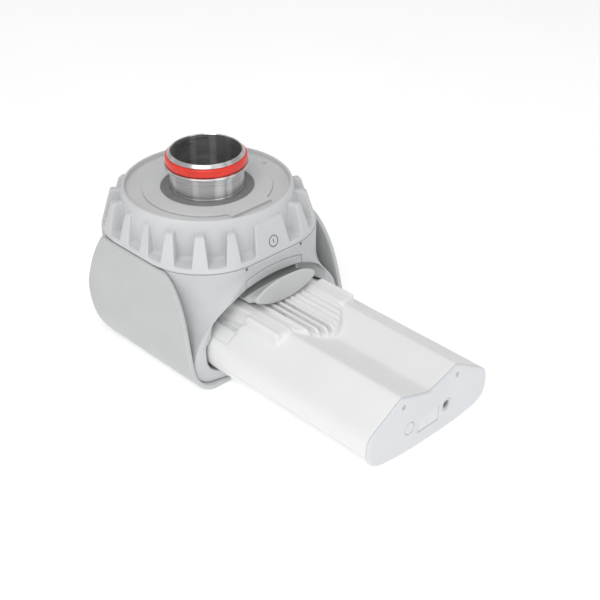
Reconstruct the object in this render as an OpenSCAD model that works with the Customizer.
// Motorised actuator head with a slide-in battery pack.
// Frame: +Z up along the drive tube axis, -Y (front) towards the battery pack,
// origin on the tube axis at the resting face. Millimetres.
// Name endings: _hw half width, _r radius, _t thickness, _z height, _l length.

/* [Body] */
// Half width of the drum body and of the cap at the seam
body_hw = 62.5; // [62:0.1:63]
// Corner radius of the drum body in plan
body_r = 45; // [43:0.5:47]
// Height of the seam between drum body and cap
seam_z = 76.6; // [76.2:0.1:77]
// Wall thickness of the moulded housings
wall = 2.6; // [2.2:0.1:2.8]

/* [Outer shell] */
// Thickness of the U-shaped outer shell
shell_t = 3; // [2.6:0.1:3.2]
// Largest half width of the outer shell
shell_hw = 66.9; // [66.7:0.1:67.4]
// Amount the shell walls lean in towards the top
shell_lean = 3.8; // [3.4:0.1:4]
// Lower corner radius of the outer shell
shell_r = 17.5; // [17:0.1:18]
// Rocker radius at the back of the outer shell
rocker_r = 42; // [40:0.5:43]
// Half width of the finger cut-out in the base plate
cutout_hw = 38.75; // [34:0.5:42]

/* [Cap] */
// Height of the cap rim
rim_z = 105.6; // [105.2:0.1:106.2]
// Outer radius of the cap rim
rim_r = 54.9; // [54.5:0.1:55.3]
// Inner radius of the cap rim
rim_in_r = 52.8; // [52:0.1:53]
// Radius of the grip pocket floors
pocket_r = 55.9; // [55.4:0.1:56.4]
// Number of pocket positions round the cap
pockets = 20; // [20:1:20]
// Lower end of the pockets
pocket_z = 81; // [80:0.5:83]

/* [Drive tube] */
// Outer radius of the tube neck
tube_r = 24; // [24:0.01:24.02]
// Bore radius of the tube
tube_bore = 22.5; // [22:0.1:22.8]
// Height of the tube lip
tube_top = 127.6; // [127:0.1:128.5]
// Outer radius of the seal ring
seal_r = 26.25; // [25.8:0.05:26.8]

/* [Gears] */
// Teeth of the output gear
out_teeth = 72; // [72:1:72]
// Teeth of the small idler gear
idler_small = 16; // [16:1:16]
// Teeth of the large idler gear
idler_big = 32; // [32:1:32]
// Teeth of the motor pinion
pinion_teeth = 12; // [12:1:12]

/* [Battery pack] */
// Half width of the pack
pack_hw = 51.8; // [51.4:0.05:52]
// Height of the lobe crowns above the resting face
lobe_z = 47.9; // [47.7:0.1:48.1]
// Height of the valley between the lobes
valley_z = 41.2; // [41:0.1:41.6]
// Outer end of the pack at rest
pack_outer_y = -193.4; // [-195:0.1:-192]
// Inner end of the pack at rest
pack_inner_y = -32; // [-34:0.5:-31]
// Wall thickness of the pack shells
pack_wall = 2; // [1.6:0.1:2.2]
// Radius of one battery cell
cell_r = 9.1; // [8.9:0.05:9.15]
// Length of one battery cell
cell_l = 65; // [64:0.5:65]

/* [Hidden] */
$fn = 96;

centre = [0, 0];
sides = [-1, 1];
gap = 0.05; // between a part and the face it seats on
base_z = shell_t + 0.02; // underside of the lower housing
drum_flat = 59.8; // half width across the flats cut on the drum sides
recess_z = rim_z - 4.4; // floor of the cap recess
disc_top = recess_z + 1.55;
plate_z = [55, 58.4]; // bottom and top of the chassis plate
board_z = [60.05, 61.6];
on_plate = plate_z[1] + gap;
on_board = board_z[1] + gap;
groove_z = [78, 79.4]; // retaining ring groove in the tube
bush_bore = tube_r + 0.06;

// fasteners
screw_r = 1.25;
screw_hole = 1.27; // threaded hole
clear_hole = 1.5;
shell_fix = [[26, 28], [26, 50]]; // y, z on each side
chassis_fix = [[-38, -26], [38, -26], [-43, 40], [46, 38]]; // x, y
cap_fix = 43.6 * [[-1, -1], [1, -1], [-1, 1], [1, 1]]; // x, y
board_fix = [[-52, -14], [-52, 14], [-36.5, 22]]; // x, y
pack_fix = [[-23.2, 41.7], [23.2, 41.7]]; // x, z
motor_fix_x = 8; // each side of the motor axis

// colours used by more than one part
housing_grey = [0.8, 0.81, 0.82];
screw_grey = [0.55, 0.55, 0.57];
bright_grey = [0.7, 0.7, 0.72];
clip_grey = [0.4, 0.4, 0.42];
bush_black = [0.2, 0.2, 0.21];
plastic_black = [0.15, 0.15, 0.16];
board_green = [0.1, 0.4, 0.2];

// ---- ranges and solids ----
// A range is [from, to]. A solid named after an axis has a range along that axis;
// "at" is its place on the other two axes, in x, y, z order.
function span(half, middle = 0) = [middle - half, middle + half];
// range from near to far off the centre plane, on side s
function side(s, near, far) = s > 0 ? [near, far] : [-far, -near];

module box(x, y, z) {
  translate([x[0], y[0], z[0]]) cube([x[1] - x[0], y[1] - y[0], z[1] - z[0]]);
}
// extrudes an outline drawn in x, z
module along_y(y) {
  translate([0, y[1], 0]) rotate([90, 0, 0]) linear_extrude(y[1] - y[0]) children();
}
module cyl_x(at, radius, x) {
  translate([x[0], at[0], at[1]]) rotate([0, 90, 0]) cylinder(r = radius, h = x[1] - x[0]);
}
module cyl_y(at, radius, y) {
  translate([at[0], y[1], at[1]]) rotate([90, 0, 0]) cylinder(r = radius, h = y[1] - y[0]);
}
module cyl_z(at, radius, z) {
  translate([at[0], at[1], z[0]]) cylinder(r = radius, h = z[1] - z[0]);
}
module ring(inner, outer, z) {
  difference() {
    cyl_z(centre, outer, z);
    cyl_z(centre, inner, [z[0] - 1, z[1] + 1]);
  }
}
// rounded square in plan, its sides cut flat at x = +-flat
module drum(half, corner, flat, z) {
  intersection() {
    translate([0, 0, z[0]]) linear_extrude(z[1] - z[0]) polygon(rounded_square(half, corner));
    box(span(flat), span(80), [z[0] - 1, z[1] + 1]);
  }
}
// slotted screw along z; head is the range of its head, the tip may lie above or below it
module screw(at, head, tip, head_r = 2.6, radius = screw_r) {
  difference() {
    cyl_z(at, head_r, head);
    translate([at[0] - head_r * 0.7, at[1] - 0.35, tip < head[0] ? head[1] - 0.6 : head[0] - 0.1])
      cube([head_r * 1.4, 0.7, 0.7]);
  }
  cyl_z(at, radius, [min(tip, head[0]), max(tip, head[0])]);
}

// ---- outlines ----
// Catmull-Rom point between start and end at fraction t
function spline(before, start, end, after, t) = 0.5 * (2 * start + (end - before) * t
  + (2 * before - 5 * start + 4 * end - after) * t * t
  + (3 * start - before - 3 * end + after) * t * t * t);
// closed smooth curve through the points, with a number of steps per span
function smooth(points, steps) = let (count = len(points))
  [for (i = [0:count - 1]) for (j = [0:steps - 1])
    spline(points[(i + count - 1) % count], points[i], points[(i + 1) % count],
      points[(i + 2) % count], j / steps)];

// points last to 1 of a right half outline, moved to the left half
function mirrored(half, last) = [for (i = [last:-1:1]) [-half[i][0], half[i][1]]];
// closed outline from a half that starts and ends on the centre line
function closed(half) = concat(half, mirrored(half, len(half) - 2));
// U outline, left top to right top, from a half that starts at the bottom centre
function open_u(half) = concat(mirrored(half, len(half) - 1), half);
function reversed(points) = [for (i = [len(points) - 1:-1:0]) points[i]];

function arc(middle, radius, start, end, steps) =
  [for (i = [0:steps]) let (a = start + (end - start) * i / steps)
    middle + radius * [cos(a), sin(a)]];
function rounded_square(half, corner, steps = 12) =
  let (signs = [[1, 1], [-1, 1], [-1, -1], [1, -1]])
  [for (i = [0:3]) for (p = arc((half - corner) * signs[i], corner, 90 * i, 90 * i + 90, steps)) p];

// moves an anticlockwise outline inwards by a distance, outwards if negative
function inset(points, distance) = let (count = len(points))
  [for (i = [0:count - 1])
    let (chord = points[(i + 1) % count] - points[(i + count - 1) % count],
      along = chord / norm(chord))
    points[i] + distance * [-along[1], along[0]]];

// pack section: x, z of the right half from the bottom centre up
pack_outline = smooth(closed([
  [0, 7], [19.25, 7.3], [31, 8.3], [42.5, 10.2], [49, 14],
  [pack_hw - 0.2, 20], [pack_hw, 26.5], [50.6, 31], [47.1, 34.7], [37, 40.7],
  [27.4, 46.4], [23.8, lobe_z], [20, lobe_z - 0.9],
  [10.5, valley_z + 2.7], [3, valley_z + 0.5], [0, valley_z]]), 4);

// mouth of the pack tunnel with its arch: x, z of the right half
mouth = smooth(closed([
  [0, 6], [20, 6.2], [33, 7.1], [44, 9.2], [50.5, 12.8], [53.4, 18.5], [54, 26], [53.6, 32],
  [52, 37.8], [48.8, 43.4], [44.6, 48], [39.5, 52.8], [32.5, 57.3], [25, 60.4], [16.9, 62.4],
  [0, 63.8]]), 3);

// outer face of the tunnel sleeve: x, z of the right half
sleeve = closed([
  [0, base_z], [63, base_z], [63, 20], [60.8, 27.5], [58.8, 32.2], [54.8, 38.4], [49, 44.6],
  [44, 49.2], [41, 52.5], [33.5, 59.4], [25.8, 62.9], [17.4, 65], [0, 66.4]]);

// ---- outer shell ----
shell_top = 76;
lean_z = 22; // the walls lean in above this height

function shell_x(z) = z < lean_z ? shell_hw
  : shell_hw - shell_lean * pow((z - lean_z) / (shell_top - lean_z), 1.5);
// right half of the shell section, moved inwards by a distance
function shell_half(distance) = concat(
  [[0, distance]],
  arc([shell_hw - shell_r, shell_r], shell_r - distance, -90, 0, 8),
  [for (i = [0:9]) let (z = lean_z + (shell_top - lean_z) * i / 9) [shell_x(z) - distance, z]]);
// front and back edge of the shell walls at height z
function front_y(z) = -body_hw + 0.22 * z + 15 * pow(z / shell_top, 6);
function back_y(z) = 49.3 - 17 * pow(z / shell_top, 3)
  - (z < rocker_r ? rocker_r - sqrt(rocker_r * rocker_r - pow(rocker_r - z, 2)) : 0);

// side view of the shell, in y, z
module shell_profile() {
  translate([-80, 0, 0]) rotate([90, 0, 90]) linear_extrude(160) polygon(concat(
    [for (i = [0:16]) let (z = shell_top * i / 16) [front_y(z), z]],
    [for (i = [22:-1:0]) let (z = shell_top * pow(i / 22, 1.5)) [back_y(z), z]]));
}
module finger_cutout() {
  translate([0, 0, -1]) linear_extrude(shell_t + 2) polygon([
    [-cutout_hw, -70], [cutout_hw, -70], [cutout_hw, -body_hw + 1],
    [cutout_hw - 4, -55], [cutout_hw - 9, -51.5],
    [-cutout_hw + 9, -51.5], [-cutout_hw + 4, -55], [-cutout_hw, -body_hw + 1]]);
}
module outer_shell() {
  color([0.82, 0.83, 0.84]) difference() {
    union() {
      // screw pads inside the walls
      for (s = sides) for (p = shell_fix) cyl_x(p, 3.4, side(s, drum_flat + gap, 64));
      intersection() {
        along_y([-70, 60])
          polygon(concat(open_u(shell_half(0)), reversed(open_u(shell_half(shell_t)))));
        shell_profile();
      }
    }
    finger_cutout();
    for (s = sides) for (p = shell_fix) cyl_x(p, screw_hole, side(s, 59, 64.2));
  }
}
module shell_screws() {
  color(screw_grey) for (s = sides) for (p = shell_fix) {
    cyl_x(p, 2.7, side(s, 55.5, 57.15));
    cyl_x(p, screw_r, side(s, 57.1, 64));
  }
}

// ---- lower housing ----
panel_hw = 23.75;
panel_fit = 0.15;

// disc whose top edge bounds the panel above the arch
module panel_disc(clearance = 0) {
  translate([0, -23.45]) circle(r = 93.75 - clearance, $fn = 160);
}
// drum and tunnel sleeve, trimmed to fit inside the outer shell
module housing_body() {
  intersection() {
    union() {
      drum(body_hw, body_r, drum_flat, [base_z, seam_z - 0.1]);
      along_y([-58.6, -12]) polygon(sleeve);
    }
    along_y([-80, 80]) polygon(concat(
      open_u(shell_half(shell_t + 0.15)), [[drum_flat + gap, 90], [-drum_flat - gap, 90]]));
  }
}
// inner cavity, with the tunnel walls and the screw bosses left standing
module housing_cavity() {
  difference() {
    drum(body_hw - wall, body_r - wall, drum_flat - wall, [base_z + wall, seam_z + 1]);
    difference() {
      along_y([-70, 12.4]) polygon(sleeve);
      box(span(70), [-33.6, 20], [53.4, 90]);
    }
    for (p = chassis_fix) cyl_z(p, 3.6, [0, plate_z[0]]);
    for (p = cap_fix) {
      cyl_z(p, 4, [66, 71.5]);
      translate([p[0], p[1], 66]) rotate([0, 0, atan2(p[1], p[0])])
        translate([0, -3.4, 0]) cube([14, 6.8, 5.4]);
    }
  }
}
// slanted cheeks that lead the pack in
module tunnel_cheeks() {
  // x, y of the cheek on the +X side
  cheek = [[26.3, -30], [58, -30], [58, -57.8], [50, -57.8], [26.3, -37.7]];
  difference() {
    for (s = sides) translate([0, 0, 31]) linear_extrude(40)
      polygon([for (p = cheek) [s * p[0], p[1]]]);
    along_y([-90, 20]) polygon(inset(pack_outline, -1.3));
    box(span(34.8), [-90, 20], [30, 51.4]);
  }
}
// tunnel, with a lower roof behind the button space
module tunnel() {
  difference() {
    along_y([-80, 10]) polygon(mouth);
    box(span(70), [-36, 20], [51, 90]);
    tunnel_cheeks();
  }
}
// seat of the inset panel above the arch
module panel_seat() {
  intersection() {
    along_y([-body_hw - 1, -body_hw + 2.05]) panel_disc();
    box(span(panel_hw), [-70, -50], [58, 80]);
  }
}
module lower_housing() {
  color(housing_grey) difference() {
    union() {
      difference() {
        housing_body();
        housing_cavity();
        tunnel();
        panel_seat();
      }
      // guides beside the release button
      for (s = sides) box(side(s, 26, 29), [-54, -44], [51.6, 61]);
    }
    for (s = sides) for (p = shell_fix) cyl_x(p, clear_hole, side(s, 50, 70));
    for (p = chassis_fix) cyl_z(p, screw_hole, [51.6, 56]);
    for (p = cap_fix) {
      cyl_z(p, clear_hole, [60, 80]);
      cyl_z(p, 3, [60, 67.8]);
    }
  }
}
// panel above the arch, between two side seams and a curved top edge
module arch_insert() {
  panel_y = [-body_hw, -body_hw + 2];
  color(housing_grey) intersection() {
    along_y(panel_y) difference() {
      panel_disc(panel_fit);
      polygon(mouth);
      translate([-60, -140]) square([120, 196]);
    }
    box(span(panel_hw - panel_fit), [panel_y[0] - 1, panel_y[1] + 1], [56, 80]);
  }
}

// ---- cap ----
module cap_layer(z, half, corner) {
  translate([0, 0, z]) linear_extrude(0.1) polygon(rounded_square(half, corner, 10));
}
// tapered drum-to-rim form
module cap_form() {
  hull() {
    cap_layer(seam_z, body_hw, body_r);
    cap_layer(98.2, 57.4, 44.7);
    cap_layer(99.1, 56.4, 43.9);
  }
}
// round core: the pocket floors and the rim
module cap_core() {
  rotate_extrude($fn = 120) polygon([
    [20, pocket_z - 1], [pocket_r, pocket_z - 1], [pocket_r, 99],
    [rim_r, 104.1], [rim_r, rim_z], [20, rim_z]]);
}
// grip pockets all round but for the front position
module grip_pockets() {
  difference() {
    for (k = [1:pockets - 1]) rotate([0, 0, k * 360 / pockets]) translate([0, -50, 0])
      rotate([90, 0, 0]) linear_extrude(30)
        polygon([[-5.1, pocket_z], [5.1, pocket_z], [7.2, 107], [-7.2, 107]]);
    cap_core();
  }
}
module cap_outside() {
  union() {
    difference() {
      cap_form();
      grip_pockets();
    }
    intersection() {
      cap_core();
      cyl_z(centre, 58, [pocket_z - 1, rim_z]);
    }
  }
}
module cap_housing() {
  skirt_inset = wall + 0.4;
  color([0.83, 0.84, 0.85]) difference() {
    union() {
      difference() {
        cap_outside();
        cyl_z(centre, pocket_r - wall, [seam_z - 2, 98.6]);
        translate([0, 0, seam_z - 1]) linear_extrude(pocket_z - 2.4 - seam_z + 1)
          polygon(rounded_square(body_hw - skirt_inset, body_r - skirt_inset, 10));
      }
      // hub round the upper bush
      cyl_z(centre, 30.5, [88, 99]);
      for (p = cap_fix) intersection() {
        cyl_z(p, 3.2, [71.6, 97]);
        cyl_z(centre, 64.5, [70, 98]);
      }
    }
    // recess, bush seat and tube opening
    cyl_z(centre, rim_in_r, [recess_z, rim_z + 1]);
    cyl_z(centre, 27, [80, 98.6]);
    cyl_z(centre, 24.7, [80, rim_z]);
    for (p = cap_fix) cyl_z(p, screw_hole, [70, 84]);
    // index notch in the recess floor and the slot in front of the disc tab
    box([47.6, 50.6], span(1.4), [recess_z - 1.6, recess_z + 1]);
    box(span(16.8), [-43.9, -42.6], [recess_z - 1.6, recess_z + 1]);
  }
}
module cap_screws() {
  color(screw_grey) for (p = cap_fix) screw(p, head = [66.05, 67.75], tip = 83);
}
// disc in the cap recess, with a tab to the front
module top_disc() {
  color([0.81, 0.82, 0.83]) difference() {
    union() {
      cyl_z(centre, 41.7, [recess_z, disc_top]);
      box(span(16.5), [-42.5, -30], [recess_z, disc_top]);
    }
    cyl_z(centre, 30, [recess_z - 1, disc_top + 1]);
  }
}
module tube_wiper() {
  color([0.36, 0.36, 0.37]) ring(bush_bore, 29.9, [recess_z, disc_top - 0.15]);
}

// ---- drive tube ----
socket_r = tube_bore - 0.5; // also the narrower lower bore of the tube

module drive_tube() {
  // radius, z
  color([0.72, 0.71, 0.7]) rotate_extrude() polygon([
    [socket_r, 60.5], [tube_r, 60.5],
    [tube_r, groove_z[0]], [23.2, groove_z[0]], [23.2, groove_z[1]], [tube_r, groove_z[1]],
    [tube_r, 116.8], [26.6, 117.7], [26.9, 118.1], [26.9, 118.9], [26.4, 119.3],
    [24.3, 119.4], [24.3, 125.3], [24.9, 125.4], [23, tube_top], [22.6, tube_top],
    [tube_bore, 127.2], [tube_bore, 84], [socket_r, 84]]);
}
// ring with two rounded ribs
module seal_ring() {
  rib_r = 1.3;
  color([0.9, 0.2, 0.15]) rotate_extrude() polygon(concat(
    [[24.35, 119.5], [25.4, 119.5]],
    arc([seal_r - rib_r, 120.9], rib_r, -60, 0, 4),
    arc([seal_r - rib_r, 123.9], rib_r, 0, 70, 4),
    [[24.35, 125.2]]));
}
module drive_socket() {
  color([0.25, 0.25, 0.26]) difference() {
    cyl_z(centre, socket_r, [66, 83.9]);
    box(span(6), span(6), [70, 90]);
    for (k = [0:5]) rotate([0, 0, 60 * k]) translate([14.5, 0, 72]) cylinder(r = 4, h = 20);
  }
}
module retaining_ring() {
  color(clip_grey) difference() {
    ring(23.2, 25.8, [groove_z[0] + gap, groove_z[1] - gap]);
    box(span(2), [-30, -20], [77, 80]);
  }
}
// flanged bush round the tube
module bush(sleeve_r, sleeve_z, flange_z) {
  color(bush_black) union() {
    ring(bush_bore, sleeve_r, sleeve_z);
    ring(bush_bore, 29.5, flange_z);
  }
}
module upper_bush() {
  bush(27, sleeve_z = [88, 98.5], flange_z = [86.4, 88]);
}
module lower_bush() {
  bush(26.9, sleeve_z = [plate_z[1], 68], flange_z = [68, 69.8]);
}

// ---- gears ----
// each mesh: module, addendum in modules, backlash
out_mesh = [1, 0.85, 0.14];
motor_mesh = [0.8, 0.75, 0.12];
pressure_angle = 20;
dedendum = 1.15; // in modules

// centre distances, then the azimuth of idler and motor about the tube axis
idler_dist = out_mesh[0] * (out_teeth + idler_small) / 2;
pinion_dist = motor_mesh[0] * (idler_big + pinion_teeth) / 2;
motor_dist = 46;
idler_az = 60;
motor_az = idler_az + acos((pow(idler_dist, 2) + pow(motor_dist, 2) - pow(pinion_dist, 2))
  / (2 * idler_dist * motor_dist));
idler = idler_dist * [cos(idler_az), sin(idler_az)];
motor = motor_dist * [cos(motor_az), sin(motor_az)];

// turn of each gear that puts it in mesh with the one before it
function fraction(value) = value - floor(value);
function mesh_turn(azimuth, phase, teeth) = azimuth + 180 - (0.5 - phase) * 360 / teeth;
idler_turn = mesh_turn(idler_az, fraction(idler_az * out_teeth / 360), idler_small);
pinion_az = atan2(motor[1] - idler[1], motor[0] - idler[0]);
pinion_turn = mesh_turn(pinion_az, fraction((pinion_az - idler_turn) * idler_big / 360),
  pinion_teeth);

// involute angle in degrees
function involute(angle) = tan(angle) * 180 / PI - angle;
// gear outline with involute flanks, six points to a flank
function gear_outline(teeth, mesh) = let (
    pitch_r = mesh[0] * teeth / 2,
    base_r = pitch_r * cos(pressure_angle),
    tip_r = pitch_r + mesh[1] * mesh[0],
    root_r = pitch_r - dedendum * mesh[0],
    half_base = 90 / teeth - mesh[2] / 2 / pitch_r * 180 / PI + involute(pressure_angle),
    radii = [root_r, max(base_r, root_r + 0.05), (max(base_r, root_r) + pitch_r) / 2,
      pitch_r, (pitch_r + tip_r) / 2, tip_r],
    halves = [for (radius = radii)
      radius <= base_r ? half_base : half_base - involute(acos(base_r / radius))])
  [for (k = [0:teeth - 1]) for (i = [0:11])
    let (j = i < 6 ? i : 11 - i, a = k * 360 / teeth + (i < 6 ? -halves[j] : halves[j]))
    radii[j] * [cos(a), sin(a)]];

module output_gear() {
  color([0.93, 0.92, 0.88]) difference() {
    translate([0, 0, 70]) linear_extrude(7.9) polygon(gear_outline(out_teeth, out_mesh));
    cyl_z(centre, tube_r, [69, 79]);
    for (k = [0:11]) rotate([0, 0, 30 * k + 15]) translate([29.2, 0, 74])
      cylinder(r = 2.4, h = 6);
  }
}
// large gear below, hub, small gear above
module idler_gear() {
  color([0.9, 0.88, 0.8]) difference() {
    translate([idler[0], idler[1], 0]) union() {
      translate([0, 0, 60]) rotate([0, 0, idler_turn]) linear_extrude(5)
        polygon(gear_outline(idler_big, motor_mesh));
      translate([0, 0, 64]) cylinder(r = 5, h = 7);
      translate([0, 0, 70]) rotate([0, 0, idler_turn]) linear_extrude(8)
        polygon(gear_outline(idler_small, out_mesh));
    }
    cyl_z(idler, 2.05, [50, 90]);
  }
}
idler_pin_r = 2;
module idler_pin() {
  color(bright_grey) cyl_z(idler, idler_pin_r, [plate_z[0], 80.5]);
}
module idler_clip() {
  color(clip_grey) difference() {
    cyl_z(idler, 4, [78.2, 78.9]);
    cyl_z(idler, idler_pin_r, [70, 90]);
  }
}

// ---- chassis ----
module chassis_plate() {
  color([0.75, 0.76, 0.78]) difference() {
    union() {
      intersection() {
        drum(59.2, 41.7, 56.6, plate_z);
        box(span(60), [-33, 60], [54, 60]);
      }
      // bush collar, idler pad and board posts
      cyl_z(centre, 30, [58, 68]);
      cyl_z(idler, 4.5, [58, 59.8]);
      for (p = board_fix) cyl_z(p, 2.6, [58, 60]);
    }
    cyl_z(centre, 26.9, [plate_z[1], 70]);
    cyl_z(centre, 22, [50, 60]);
    cyl_z(idler, idler_pin_r, [50, 72]);
    for (p = chassis_fix) cyl_z(p, clear_hole, [50, 60]);
    cyl_z(motor, 4.2, [50, 60]);
    for (s = sides) cyl_z(motor + [motor_fix_x * s, 0], 1.35, [50, 60]);
    for (p = board_fix) cyl_z(p, 0.95, [55.5, 61]);
    // hole for the motor leads
    cyl_z([lead_x, 45.3], 4, [50, 60]);
  }
}
module chassis_screws() {
  color(screw_grey) for (p = chassis_fix) screw(p, head = [on_plate, on_plate + 1.9], tip = 52);
}

// ---- motor ----
shaft_r = 1.5;
module motor_can() {
  color([0.7, 0.71, 0.73]) difference() {
    cyl_z(motor, 12, [16, plate_z[0] - gap]);
    cyl_z(motor, 1.6, [20, 60]);
    for (s = sides) cyl_z(motor + [motor_fix_x * s, 0], 1.2, [49, 60]);
  }
}
module motor_end_cap() {
  color(plastic_black) cyl_z(motor, 11.6, [13, 16]);
}
module motor_shaft() {
  color([0.75, 0.75, 0.77]) cyl_z(motor, shaft_r, [22, 67]);
}
module motor_pinion() {
  color([0.78, 0.66, 0.35]) difference() {
    translate([motor[0], motor[1], 59.6]) rotate([0, 0, pinion_turn]) linear_extrude(5.8)
      polygon(gear_outline(pinion_teeth, motor_mesh));
    cyl_z(motor, shaft_r, [50, 90]);
  }
}
module motor_screws() {
  color(screw_grey) for (s = sides)
    screw(motor + [motor_fix_x * s, 0], head = [on_plate, on_plate + 1.3], tip = 50,
      head_r = 2, radius = 1.15);
}

// ---- control board ----
module control_board() {
  color(board_green) difference() {
    box([-55.6, -32.5], [-20, 26], board_z);
    cyl_z(centre, 30.6, [55, 70]);
    for (p = board_fix) cyl_z(p, 1.1, [59, 63]);
  }
}
module board_components() {
  color([0.12, 0.12, 0.13]) union() {
    box([-50, -42], [-8, 0], [on_board, 63]);
    box([-49, -44], [4, 12], [on_board, 65]);
    cyl_z([-38.5, -14], 3, [on_board, 68]);
    cyl_z([-46, -16], 2.4, [on_board, 67]);
    box([-48, -40], [16, 24], [on_board, 66]);
  }
}
module board_screws() {
  color(screw_grey) for (p = board_fix)
    screw(p, head = [on_board, on_board + 1.1], tip = 56, head_r = 1.9, radius = 0.9);
}

lead_r = 0.8;
lead_x = -20; // where the leads rise through the plate
lead_top = 63.5;
// square run between the two ends of its centre line, lower corner first
module lead_run(low, high) {
  pad = lead_r * [1, 1, 1];
  translate(low - pad) cube(high - low + 2 * pad);
}
// stub at the motor, riser and run to the board; children are the runs below the motor
module lead(terminal_x, low_z, riser_y, riser_z, board_x) {
  union() {
    cyl_z([terminal_x, motor[1]], lead_r, [low_z - lead_r, 12.95]);
    children();
    cyl_z([lead_x, riser_y], lead_r, [riser_z, lead_top]);
    lead_run([board_x, riser_y, lead_top], [lead_x, riser_y, lead_top]);
    lead_run([board_x, 24.05 + lead_r, lead_top], [board_x, riser_y, lead_top]);
  }
}
module motor_leads() {
  red_x = motor[0] - 4;
  red_z = 10;
  red_y = 47;
  color([0.75, 0.12, 0.1]) lead(red_x, red_z, red_y, riser_z = 9, board_x = -45.5) {
    lead_run([lead_x, motor[1], red_z], [red_x, motor[1], red_z]);
    lead_run([lead_x, motor[1], red_z], [lead_x, red_y, red_z]);
  }
  black_x = motor[0] + 4;
  black_z = 7.5;
  black_y = 43.6;
  color([0.12, 0.12, 0.12]) lead(black_x, black_z, black_y, riser_z = 7, board_x = -42.5) {
    lead_run([black_x, black_y, black_z], [black_x, motor[1] - lead_r, black_z]);
    lead_run([lead_x, black_y, black_z], [black_x, black_y, black_z]);
  }
}

// ---- contacts and release button ----
blade_x = -4.85 * [2.5, 1.5, 0.5];
module contact_block() {
  color([0.16, 0.16, 0.17]) box(span(18), [-43.5, -36.05], [50, 60]);
}
// blades that reach down between the ribs of the pack deck
module contact_blades() {
  color([0.85, 0.68, 0.3]) for (x = blade_x) box(span(0.4, x), [-42.5, -37.5], [45, 50 - gap]);
}

// lens section: top height and its drop at the ends, lift of the bottom at the ends
module lens(y, top, drop, power, lift) {
  along_y(y) polygon(concat(
    [for (i = [-10:10]) [2.54 * i, 49.2 + lift * pow(abs(i) / 10, 2.2)]],
    [for (i = [10:-1:-10]) [2.54 * i, top - drop * pow(abs(i) / 10, power)]]));
}
spring_z = 53;
module latch_button() {
  color([0.68, 0.69, 0.7]) union() {
    lens([-73.75, -65.6], top = 67.3, drop = 7.5, power = 3, lift = 7.2);
    lens([-66, -58], top = 59.2, drop = 2.2, power = 2, lift = 4);
    lens([-58.2, -50], top = 56.4, drop = 1, power = 2, lift = 4);
    cyl_y([0, spring_z], 2, [-50.2, -46.4]);
  }
}
// compression spring behind the button, as four rings
module latch_spring() {
  color(bright_grey) for (k = [0:3]) translate([0, -49.4 + k * 1.55, spring_z])
    rotate([90, 0, 0]) rotate_extrude($fn = 40) translate([3.2, 0]) circle(r = 0.42, $fn = 16);
}

// ---- battery pack shells ----
groove_x = 35.5; // guide groove on the outer slope of each lobe
pack_shell_y = pack_outer_y + 2.05;

module pack_solid(distance, y) {
  along_y(y) polygon(inset(pack_outline, distance));
}
// pack walls between two heights, open at the outer end
module pack_shell(z) {
  intersection() {
    difference() {
      pack_solid(0, [pack_shell_y, pack_inner_y]);
      pack_solid(pack_wall, [pack_outer_y - 1, pack_inner_y - 2]);
    }
    box(span(70), [pack_outer_y - 1, pack_inner_y + 1], z);
  }
}
module pack_upper_shell() {
  color([0.95, 0.95, 0.95]) difference() {
    union() {
      pack_shell([20.1, 60]);
      // thicker wall under the guide grooves
      for (s = sides) difference() {
        intersection() {
          pack_solid(1, [-72, -45]);
          box(span(3.9, s * groove_x), [-72, -45], [30, 50]);
        }
        pack_solid(3.6, [-73, -44]);
      }
      // end screw bosses
      for (p = pack_fix) intersection() {
        union() {
          cyl_y(p, 2.6, [pack_shell_y, -177]);
          box(span(1, p[0]), [pack_shell_y, -177], [42, 47]);
        }
        pack_solid(1, [pack_outer_y, -173]);
      }
    }
    for (p = pack_fix) cyl_y(p, 0.92, [pack_outer_y, -180]);
    // guide grooves: inner end and depth, shallow all along and deeper at the outer part
    for (s = sides) for (g = [[pack_inner_y + 1, 1], [-46, 2.5]]) difference() {
      box(span(2.4, s * groove_x), [-68, g[0]], [36, 50]);
      pack_solid(g[1], [pack_outer_y, pack_inner_y + 2]);
    }
  }
}
module pack_lower_shell() {
  color([0.94, 0.94, 0.94]) pack_shell([0, 20.05]);
}

// ---- contact deck ----
deck_hw = 22;
// outer end of the deck, rounded in plan
function deck_end(x) = -116.5 + 13 * pow(min(abs(x), 20.6) / 19, 1.8);

// ribbed deck between the lobes
module contact_deck() {
  back_y = pack_inner_y - 3;
  slot_y = [-130, pack_inner_y + 1];
  color([0.96, 0.96, 0.95]) difference() {
    union() {
      intersection() {
        linear_extrude(48.9) polygon(concat(
          [for (i = [-8:8]) let (x = deck_hw * i / 8) [x, deck_end(x)]],
          [[deck_hw, back_y], [-deck_hw, back_y]]));
        box(span(deck_hw), [-130, pack_inner_y], [40, 49]);
      }
      for (s = sides) box(side(s, 21.9, 33.4), [-100.6, -70], [42, 50.2]);
      for (s = sides) box(side(s, 21.9, 29), [-71, back_y], [42, 50.2]);
    }
    along_y(slot_y) polygon(pack_outline);
    // deep slots for the blades, shallow ones beside them
    for (x = blade_x) box(span(1.45, x), slot_y, [43.9, 50]);
    for (x = concat([-17, 17], -blade_x)) box(span(1.3, x), slot_y, [47.9, 50]);
  }
}
// a pair in each blade slot; the pair farthest to -X sits higher
module terminal_clips() {
  color(bright_grey) for (x = blade_x) for (s = sides)
    box(span(0.4, x + s * 0.95), [-84, -77], x < -12 ? [45, 46.4] : [43.95, 45.8]);
}

// ---- pack end ----
jack_at = [15.2, 23.8]; // x, z
button_at = [-17.4, 23.8]; // x, z

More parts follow.
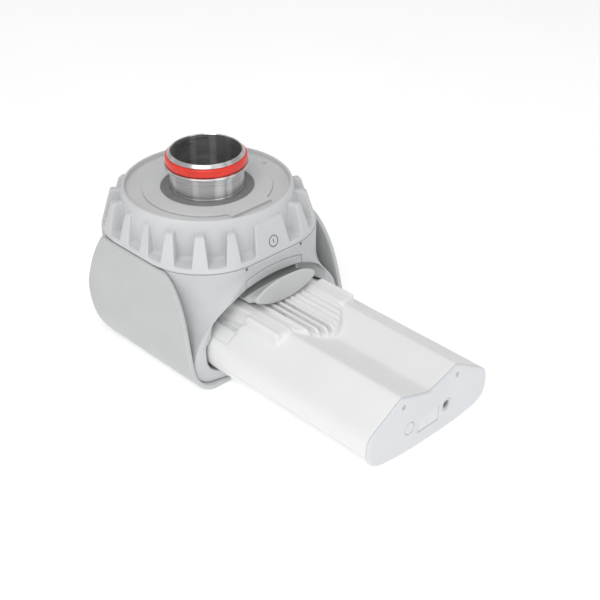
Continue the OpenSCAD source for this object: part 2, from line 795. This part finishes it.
module pack_end_cap() {
  through = [pack_outer_y - 1, pack_outer_y + 3];
  color([0.9, 0.91, 0.93]) difference() {
    union() {
      pack_solid(0, [pack_outer_y + 0.6, pack_outer_y + 2]);
      pack_solid(0.6, [pack_outer_y, pack_outer_y + 1]);
    }
    cyl_y(jack_at, 4.05, through);
    cyl_y(button_at, 4.1, through);
    box([-10.1, 8.4], [pack_outer_y - 1, pack_outer_y + 1.2], [16.5, 27.1]);
    for (p = pack_fix) {
      cyl_y(p, 1, through);
      cyl_y(p, 1.6, [pack_outer_y - 1, pack_outer_y + 1]);
    }
  }
}
module pack_end_screws() {
  color([0.6, 0.6, 0.62]) for (p = pack_fix) {
    cyl_y(p, 1.5, [pack_outer_y + 0.2, pack_outer_y + 0.95]);
    cyl_y(p, 0.9, [pack_outer_y + 0.9, -181]);
  }
}
module charge_jack() {
  color(plastic_black) union() {
    difference() {
      cyl_y(jack_at, 4, [pack_outer_y + 0.1, -175.8]);
      cyl_y(jack_at, 2.75, [pack_outer_y - 1, -182]);
    }
    cyl_y(jack_at, 1, [pack_outer_y + 2, -181]);
  }
}
module indicator_window() {
  color([0.85, 0.87, 0.9])
    box([-10, 8.3], [pack_outer_y + 0.4, pack_outer_y + 1.2], [16.6, 27]);
}
module status_button() {
  color([0.93, 0.94, 0.95]) union() {
    cyl_y(button_at, 4.02, [pack_outer_y, pack_outer_y + 3.4]);
    cyl_y(button_at, 1.5, [pack_outer_y + 3, -177]);
  }
}

// ---- cells ----
cell_at = [[13, 18.6], [31.9, 20], [22.4, 35.6]]; // x, z on the +X side
inner_row_y = [pack_inner_y - 5 - cell_l, pack_inner_y - 5];
outer_row_y = [inner_row_y[0] - 2.4 - cell_l, inner_row_y[0] - 2.4];

module cell_row(y, radius) {
  for (s = sides) for (p = cell_at) cyl_y([s * p[0], p[1]], radius, y);
}
module battery_cells() {
  color([0.25, 0.5, 0.75]) {
    cell_row(inner_row_y, cell_r);
    cell_row(outer_row_y, cell_r);
  }
}
module cell_holders() {
  color(bush_black) for (y = [-41, -97, -108, -164]) difference() {
    intersection() {
      pack_solid(pack_wall + 0.3, [y, y + 3]);
      box(span(46), [y - 1, y + 4], [0, 60]);
    }
    cell_row([y - 1, y + 4], cell_r + 0.05);
  }
}
// T-shaped straps at the far ends of the rows, square blocks between the rows
module cell_straps() {
  strap_t = 0.2;
  color([0.8, 0.8, 0.78]) {
    for (y = [inner_row_y[1] + gap, outer_row_y[0] - gap - strap_t]) for (s = sides) union() {
      box(side(s, 11, 35), [y, y + strap_t], [15.5, 21.5]);
      box(side(s, 20, 25), [y, y + strap_t], [15.5, 38]);
    }
    for (s = sides) for (p = cell_at)
      box(span(3, s * p[0]), [inner_row_y[0] - 1.9, inner_row_y[0] - 0.5], span(3, p[1]));
  }
}
// board across the pack with two blocks on its outer face
module pack_board() {
  color(board_green) union() {
    box(span(38.5), [-175.7, -174.2], [12.6, 36]);
    box([-32, -24], [-178.8, -175.6], [14, 21]);
    box(span(6), [-177.8, -175.6], [14, 22]);
  }
}

outer_shell();
lower_housing();
arch_insert();
cap_housing();
top_disc();
tube_wiper();
drive_tube();
seal_ring();
drive_socket();
retaining_ring();
output_gear();
upper_bush();
lower_bush();
chassis_plate();
chassis_screws();
shell_screws();
cap_screws();
idler_gear();
idler_pin();
idler_clip();
motor_can();
motor_end_cap();
motor_shaft();
motor_pinion();
motor_screws();
control_board();
board_components();
board_screws();
motor_leads();
contact_block();
contact_blades();
latch_button();
latch_spring();
pack_upper_shell();
pack_lower_shell();
contact_deck();
terminal_clips();
pack_end_cap();
pack_end_screws();
charge_jack();
indicator_window();
status_button();
battery_cells();
cell_holders();
cell_straps();
pack_board();
